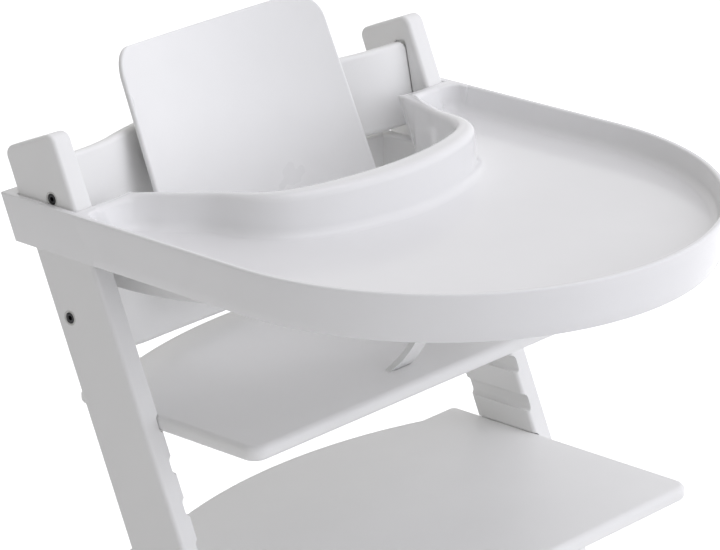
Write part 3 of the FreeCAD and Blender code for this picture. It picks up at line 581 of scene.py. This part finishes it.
def quarter_bend(start, corner, end, count):
    """Points of a soft bend from start to end, pulled towards the corner."""
    t = np.linspace(0, 1, count)[:, None]
    start, corner, end = np.array(start), np.array(corner), np.array(end)
    return (1 - t) ** 2 * start + 2 * t * (1 - t) * corner + t**2 * end


def collar_top(y):
    """Height of the collar's crest."""
    share = (mouth[1] - y) / (mouth[1] - opening_front)
    return collar_low_z + (collar_high_z - collar_low_z) * min(max(share, -0.1), 1)


def half_opening(count):
    """Right half of the opening's edge, from its mouth round to the middle of its front."""
    side_x0, side_y0 = opening_side
    shoulder = (shoulder_in * side_x0, opening_front + shoulder_back * (side_y0 - opening_front))
    whole = [
        mouth, opening_side, shoulder, (0, opening_front),
        (-shoulder[0], shoulder[1]), (-side_x0, side_y0), (-mouth[0], mouth[1]),
    ]
    line = curve_through(whole, 2 * count - 1)[:count]
    line[-1][0] = 0
    return line


def collar_wall(line):
    """Wall of the collar: thin beside the child, thick in front."""
    depth = np.clip((opening_side[1] - line[:, 1]) / (opening_side[1] - opening_front), 0, 1)
    return collar_side_wall + (collar_front_wall - collar_side_wall) * depth**1.5


def tray_stations():
    """Stations along the right half of the edge, from the middle of the front to the collar's.

    Each holds the outer edge's point, the one or two ways in from it ("first" and "second") and
    its height; the well edge's point, the way into the well and its height ("edge_z"); the kind
    of wall; how far the well's wall is eased into the rear ramp; and how far the outer skin
    follows the uprights' lean.
    """
    stations = []

    def add(outer, first, second, outer_z, well, inward, edge_z, kind, ramp=0.0, lean=0.0):
        stations.append(
            {"outer": np.array(outer), "outer_z": outer_z,
             "first": np.array(first, float), "second": np.array(second, float),
             "well": np.array(well), "inward": np.array(inward), "edge_z": edge_z,
             "kind": kind, "ramp": ramp, "lean": lean}
        )

    # The round front and the straight side.
    for angle in np.linspace(-math.pi / 2, 0, front_stations):
        way = np.array([math.cos(angle), math.sin(angle)])
        centre = np.array([0, round_centre_y])
        outer, well = centre + round_radius * way, centre + (round_radius - rim_width) * way
        add(outer, -way, (0, 0), rim_z, well, -way, rim_z, "rim")
    bend_y = deck_y - well_corner
    for y in np.linspace(round_centre_y, bend_y, side_stations)[1:]:
        x = side_x(y)
        add((x, y), (-1, 0), (0, 0), rim_z, (x - rim_width, y), (-1, 0), rim_z, "rim")
    # The rear corner of the well, fanned out to the tray's own sharp corner.
    corner_x = side_x(deck_y) - rim_width
    bend_x = corner_x - well_corner
    bend_line = quarter_bend(
        (corner_x, bend_y), (corner_x, deck_y), (bend_x, deck_y), corner_stations,
    )
    bend_ways = left_hand(bend_line)
    sharp = (side_x(rear_edge_y), rear_edge_y)
    for index in range(1, corner_stations):
        share = index / (corner_stations - 1) * 2
        well, way = bend_line[index], bend_ways[index]
        if share < 1:
            y = bend_y * (1 - share) + rear_edge_y * share
            add((side_x(y), y), (-1, 0), (0, 0), rim_z, well, way, rim_z, "rim", lean=share)
        elif share == 1:
            add(sharp, (-1, 0), (0, -1), rim_z, well, way, rim_z, "corner", lean=1.0)
        else:
            x = sharp[0] * (2 - share) + bend_x * (share - 1)
            add((x, rear_edge_y), (0, 0), (0, -1), rim_z, well, way, rim_z, "deck", lean=1.0)
    # The deck, then the fan round the collar's rear end.
    opening = half_opening(opening_points)
    ways = left_hand(opening)
    walls = collar_wall(opening)
    ridge = opening + ways * walls[:, None]
    first = int(np.argmax(ridge[:, 1] < deck_y - fan_reach))
    meet_x = float(np.interp(-deck_y, -ridge[:, 1], ridge[:, 0]))
    bend_start = meet_x + fan_run
    for index, x in enumerate(np.linspace(bend_x, bend_start, deck_stations)[1:]):
        ramp = min(1.0, (index + 1) / ramp_in_steps)
        outer, well = (x, rear_edge_y), (x, deck_y)
        add(outer, (0, 0), (0, -1), rim_z, well, (0, -1), rim_z, "deck", ramp, 1.0)
    bend_line = quarter_bend(
        (bend_start, deck_y), (meet_x, deck_y), ridge[first], fan_stations,
    )
    bend_ways = left_hand(bend_line)
    rear_top = collar_top(rear_edge_y)
    for index in range(1, fan_stations):
        share = index / (fan_stations - 1)
        ease = share * share * (3 - 2 * share)
        edge_z = rim_z + (collar_top(ridge[first][1]) - rim_z) * ease
        well, way = bend_line[index], bend_ways[index]
        if share < 0.5:
            x = bend_start * (1 - 2 * share) + mouth[0] * 2 * share
            outer_z = rim_z + (rear_top - rim_z) * (2 * share) ** 2
            add((x, rear_edge_y), (0, 0), (0, -1), outer_z, well, way, edge_z, "deck", 1.0, 1.0)
        elif share == 0.5:
            corner = (mouth[0], rear_edge_y)
            add(corner, (1, 0), (0, -1), rear_top, well, way, edge_z, "mouth", 1.0, 1.0)
        else:
            back = 2 * share - 1
            y = rear_edge_y * (1 - back) + opening[first][1] * back
            x = float(np.interp(-y, -opening[:, 1], opening[:, 0]))
            top = collar_top(y)
            add((x, y), ways[first], (0, 0), top, well, way, edge_z, "collar", 1.0, 1 - back)
    # The collar, over which the ramp fades out.
    for index, (point, way, wall) in enumerate(list(zip(opening, ways, walls))[first + 1:]):
        top = collar_top(point[1])
        ramp = max(0.0, 1 - (index + 1) / ramp_out_steps)
        add(point, way, (0, 0), top, point + way * wall, way, top, "collar", ramp)
    return stations


def station_section(station):
    """Points of one section: up from the well's floor, over the top, down the outside and back
    under the floor."""
    outer, well, inward = station["outer"], station["well"], station["inward"]
    outer_z, edge_z, kind = station["outer_z"], station["edge_z"], station["kind"]
    first, second = station["first"], station["second"]
    gap = float(np.linalg.norm(well - outer))
    ramp = station["ramp"]
    along = min(max((rear_edge_y - outer[1]) / crest_reach, 0), 1) if kind == "collar" else 0
    soft = min(round_share * gap, edge_round + (crest_round - edge_round) * along)
    plain = crest_round if kind in ("collar", "mouth") else edge_round
    well_round = min(round_share * gap, plain + (ramp_round - plain) * ramp)
    draws_in = wall_slope + (ramp_slope - wall_slope) * ramp
    points = []

    def in_well(depth, z):
        points.append((*(well + inward * depth), z))

    def on_skin(inset, z):
        forward = np.array([0, -1]) * (outer_z - z) * lean_run * station["lean"]
        points.append((*(outer + (first + second) * inset + forward), z))

    in_well(draws_in + floor_bend + floor_lap, well_z)
    for angle in np.linspace(0, math.pi / 2, floor_arc):
        rise = floor_bend * (1 - math.cos(angle))
        in_well(draws_in + floor_bend * (1 - math.sin(angle)), well_z + rise)
    for angle in np.linspace(0, math.pi / 2, edge_arc):
        in_well(-well_round * (1 - math.cos(angle)), edge_z - well_round * (1 - math.sin(angle)))
    # Across the top.
    start = well - inward * well_round
    over = outer + (first + second) * soft
    for share in (0.25, 0.5, 0.75):
        ease = share * share * (3 - 2 * share)
        points.append((*(start * (1 - share) + over * share), edge_z * (1 - ease) + outer_z * ease))
    for angle in np.linspace(0, math.pi / 2, edge_arc):
        on_skin(soft * (1 - math.sin(angle)), outer_z - soft * (1 - math.cos(angle)))
    draft = side_draft if kind in ("rim", "corner") else 0.0
    top_of_skin = outer_z - soft
    for share in (0.25, 0.5, 0.75, 1.0):
        z = top_of_skin + (skirt_z + 1 * mm - top_of_skin) * share
        on_skin(draft * (outer_z - z), z)
    low_inset = draft * (outer_z - skirt_z)
    wall = rim_wall if kind in ("rim", "corner") else deck_wall
    on_skin(low_inset + 0.3 * mm, skirt_z + 0.3 * mm)
    on_skin(low_inset + 1 * mm, skirt_z)
    foot = np.array(points[-1][:2])
    push = first + second
    for depth, z in (
        (wall - 1.5 * mm, skirt_z),
        (wall - 1 * mm, skirt_z + 0.6 * mm),
        (wall - 1 * mm, under_z - 2 * mm),
        (wall + 1 * mm, under_z),
    ):
        points.append((*(foot + push * depth), z))
    in_well(draws_in + floor_bend + floor_lap, under_z)
    return points


def shown(name, mesh):
    """Object of a finished mesh, in the scene."""
    piece = bpy.data.objects.new(name, mesh)
    bpy.context.scene.collection.objects.link(piece)
    return piece


def tray_body():
    """Weld the sections of all stations, right and left, into one closed mesh."""
    right = [station_section(station) for station in tray_stations()]
    left = [[(-x, y, z) for x, y, z in section] for section in reversed(right[1:-1])]
    sections = right + left
    mesh = bmesh.new()
    rows = [[mesh.verts.new(point) for point in section] for section in sections]
    for row, following in zip(rows, rows[1:] + rows[:1]):
        for a, b, c, d in zip(row, row[1:], following[1:], following):
            mesh.faces.new((a, b, c, d)).smooth = True
    mesh.faces.new([row[0] for row in rows])
    mesh.faces.new([row[-1] for row in rows])
    bmesh.ops.remove_doubles(mesh, verts=mesh.verts, dist=weld)
    bmesh.ops.dissolve_degenerate(mesh, dist=weld, edges=mesh.edges)
    bmesh.ops.recalc_face_normals(mesh, faces=mesh.faces)
    data = bpy.data.meshes.new("tray_body")
    mesh.to_mesh(data)
    mesh.free()
    return data


sleeve_lap = 26 * mm                            # how far a sleeve runs forward into the body
sleeve_step = 0.08 * mm                         # keeps a sleeve's faces inside the body's
sleeve_slope = 11.0 / 42.0                      # how far a sleeve's rear end leans per drop
sleeve_bevel = 1.2 * mm
pocket_width = 21.6 * mm                        # an upright's thickness and some play
pocket_play = 1.4 * mm                          # before and behind an upright together
hook_inset = 0.5 * mm                           # the wall behind stops short of the inner face
sharp_from = math.radians(35)


def sleeve(sign):
    """Outer wall beside an upright, turned in behind it."""
    behind_y = rear_edge_y + upright_depth / math.sin(upright_lean) + pocket_play
    pocket_x = inner_x + pocket_width
    start_y = rear_edge_y - sleeve_lap
    hook_x = inner_x + hook_inset
    outline = [
        (side_x(start_y) - sleeve_step, start_y, 0.0),
        (side_x(sleeve_end_y) - sleeve_step, sleeve_end_y, sleeve_slope),
        (hook_x, sleeve_end_y, sleeve_slope),
        (hook_x, behind_y, lean_run),
        (pocket_x, behind_y, lean_run),
        (pocket_x, start_y, 0.0),
    ]
    top_z = rim_z - sleeve_step
    drop = top_z - skirt_z - sleeve_step
    mesh = bmesh.new()
    rings = []
    for down in (0.0, drop):
        ring = []
        for x, y, slope in outline:
            inset = side_draft * down if x > pocket_x + 1 * mm else 0.0
            ring.append(mesh.verts.new((sign * (x - inset), y - slope * down, top_z - down)))
        rings.append(ring)
    top, bottom = rings
    mesh.faces.new(top)
    mesh.faces.new(bottom)
    for index in range(len(top)):
        following = (index + 1) % len(top)
        mesh.faces.new((top[index], top[following], bottom[following], bottom[index]))
    bmesh.ops.recalc_face_normals(mesh, faces=mesh.faces)
    outer_corner = {top[1], bottom[1]}
    shown_edges = [
        edge for edge in mesh.edges
        if set(edge.verts) <= set(top) or set(edge.verts) == outer_corner
    ]
    bmesh.ops.bevel(
        mesh, geom=shown_edges, offset=sleeve_bevel, segments=3, profile=0.5, affect="EDGES",
    )
    for face in mesh.faces:
        face.smooth = len(face.verts) <= 4
    data = bpy.data.meshes.new("sleeve")
    mesh.to_mesh(data)
    mesh.free()
    return data


def joined(name, meshes):
    """One mesh of several closed skins, shaded smooth but for its sharp edges."""
    whole = bmesh.new()
    for mesh in meshes:
        whole.from_mesh(mesh)
        bpy.data.meshes.remove(mesh)
    data = bpy.data.meshes.new(name)
    whole.to_mesh(data)
    whole.free()
    data.set_sharp_from_angle(angle=sharp_from)
    return data


tray_plastic = moulded(
    "tray_gloss", colour=(0.86, 0.86, 0.865), roughness=0.14, peel=0.012 * mm, texture_scale=160,
)
tray_mesh = joined("tray_moulding", [tray_body(), sleeve(1), sleeve(-1)])
tray_mesh.materials.append(tray_plastic)
tray_moulding = shown("tray_moulding", tray_mesh)
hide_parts("tray")
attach(tray_moulding, "tray")
finish_node("tray_clips", tray_plastic)

# ---------------------------------------------------------------- studio
# A pale floor under soft, even light, with the camera where a person stands in front of the
# chair's side.

white = (1, 1, 1, 1)
lamp_aspect = 0.8
floor_glow = 0.7
floor_reach = 14.0
floor_drop = 0.3 * mm                           # keeps the floor clear of the glides' faces

floor_material, nodes, links, shader = finish_material("studio_floor", roughness=0.8)
floor_cloud = pattern(nodes, links, unstretched, scale=2, detail=2)
floor_colour = tint(nodes, links, floor_cloud, first=(0.86, 0.86, 0.86), second=(0.88, 0.88, 0.88))
links.new(floor_colour, shader.inputs["Base Color"])


def seen_directly(nodes, links, low, high):
    """Number that is high for camera, glossy and transmission rays, and low for the rest."""
    path = nodes.new("ShaderNodeLightPath")
    total = path.outputs["Is Camera Ray"]
    for ray in ("Is Glossy Ray", "Is Transmission Ray"):
        greater = nodes.new("ShaderNodeMath")
        greater.operation = "MAXIMUM"
        links.new(total, greater.inputs[0])
        links.new(path.outputs[ray], greater.inputs[1])
        total = greater.outputs[0]
    ranged = nodes.new("ShaderNodeMapRange")
    ranged.inputs["To Min"].default_value = low
    ranged.inputs["To Max"].default_value = high
    links.new(total, ranged.inputs["Value"])
    return ranged.outputs["Result"]


shader.inputs["Emission Color"].default_value = white
glow = seen_directly(nodes, links, low=0.0, high=floor_glow)
links.new(glow, shader.inputs["Emission Strength"])
floor_mesh = bpy.data.meshes.new("studio_floor")
floor_turns = ((-1, -1), (1, -1), (1, 1), (-1, 1))
floor_corners = [(x * floor_reach, y * floor_reach, 0) for x, y in floor_turns]
floor_mesh.from_pydata(floor_corners, [], [(0, 1, 2, 3)])
floor_mesh.materials.append(floor_material)
studio_floor = shown("studio_floor", floor_mesh)
studio_floor.location.z = -floor_drop

even_light = (0.137, 0.138, 0.124)
# Each lobe: the way it is strongest, and its colour there.
soft_lobes = [
    ((-0.990, 0.099, 0.099), (0.008, 0.012, 0.000)),
    ((0.995, 0.000, 0.100), (0.343, 0.342, 0.353)),
    ((0.000, -0.995, 0.100), (0.492, 0.495, 0.519)),
    ((0.000, 0.981, 0.196), (0.320, 0.313, 0.284)),
    ((0.000, 0.000, 1.000), (0.018, 0.005, 0.042)),
    ((0.677, -0.677, 0.290), (0.748, 0.752, 0.789)),
]


def surroundings(nodes, links, even, lobes):
    """Colour of the light from all round: an even part plus soft lobes, each strongest one way."""
    facing = nodes.new("ShaderNodeTexCoord")
    total = None
    for direction, colour in lobes:
        along = nodes.new("ShaderNodeVectorMath")
        along.operation = "DOT_PRODUCT"
        along.inputs[1].default_value = direction
        links.new(facing.outputs["Generated"], along.inputs[0])
        ahead = nodes.new("ShaderNodeMath")
        ahead.operation = "MAXIMUM"
        ahead.inputs[1].default_value = 0.0
        links.new(along.outputs["Value"], ahead.inputs[0])
        lobe = nodes.new("ShaderNodeVectorMath")
        lobe.operation = "SCALE"
        lobe.inputs[0].default_value = colour
        links.new(ahead.outputs[0], lobe.inputs["Scale"])
        summed = nodes.new("ShaderNodeVectorMath")
        summed.inputs[1].default_value = even
        links.new(lobe.outputs[0], summed.inputs[0])
        if total is not None:
            links.new(total, summed.inputs[1])
        total = summed.outputs[0]
    return total


world = bpy.data.worlds.new("studio")
bpy.context.scene.world = world
world.use_nodes = True
nodes, links = world.node_tree.nodes, world.node_tree.links
nodes.clear()
lighting = nodes.new("ShaderNodeBackground")
links.new(surroundings(nodes, links, even_light, soft_lobes), lighting.inputs["Color"])
backdrop = nodes.new("ShaderNodeBackground")
backdrop.inputs["Color"].default_value = white
chosen = nodes.new("ShaderNodeMixShader")
links.new(seen_directly(nodes, links, low=0.0, high=1.0), chosen.inputs[0])
links.new(lighting.outputs[0], chosen.inputs[1])
links.new(backdrop.outputs[0], chosen.inputs[2])
world_output = nodes.new("ShaderNodeOutputWorld")
links.new(chosen.outputs[0], world_output.inputs["Surface"])


def softbox(name, place, aim, width, power, colour):
    """Wide soft lamp, turned to face a point."""
    lamp = bpy.data.lights.new(name, "AREA")
    lamp.color = colour
    lamp.shape = "RECTANGLE"
    lamp.size = width
    lamp.size_y = width * lamp_aspect
    lamp.energy = power
    holder = bpy.data.objects.new(name, lamp)
    bpy.context.scene.collection.objects.link(holder)
    holder.location = place
    holder.rotation_euler = (Vector(aim) - Vector(place)).to_track_quat("-Z", "Y").to_euler()


chair_middle = (0, 0, 0.55)
softbox(
    "front_wall", place=(1.4, -3.1, 1.0), aim=chair_middle, width=3.2, power=7.3,
    colour=(0.814, 0.830, 1.000),
)
softbox(
    "overhead", place=(0.3, -0.8, 3.2), aim=chair_middle, width=2.2, power=9.7,
    colour=(0.982, 0.980, 1.000),
)

azimuth = math.radians(-47.98)
elevation = math.radians(20.45)
roll = math.radians(-0.38)
level_share = math.cos(elevation)
back = Vector((
    math.sin(azimuth) * level_share, -math.cos(azimuth) * level_share, math.sin(elevation),
))
level = Vector((math.cos(azimuth), math.sin(azimuth), 0))
upward = back.cross(level)
right_way = level * math.cos(roll) + upward * math.sin(roll)
up_way = upward * math.cos(roll) - level * math.sin(roll)
lens = bpy.data.cameras.new("camera")
lens.sensor_width = 36                          # millimetres, as is the focal length
lens.lens = 206.65
lens.dof.use_dof = False
camera = bpy.data.objects.new("camera", lens)
bpy.context.scene.collection.objects.link(camera)
camera_place = Vector((-2.4374, -2.3277 + front_corner_y, 1.8578))
turned = Matrix((right_way, up_way, back)).transposed().to_4x4()
camera.matrix_world = Matrix.Translation(camera_place) @ turned
bpy.context.scene.camera = camera
bpy.context.scene.view_settings.view_transform = "Standard"
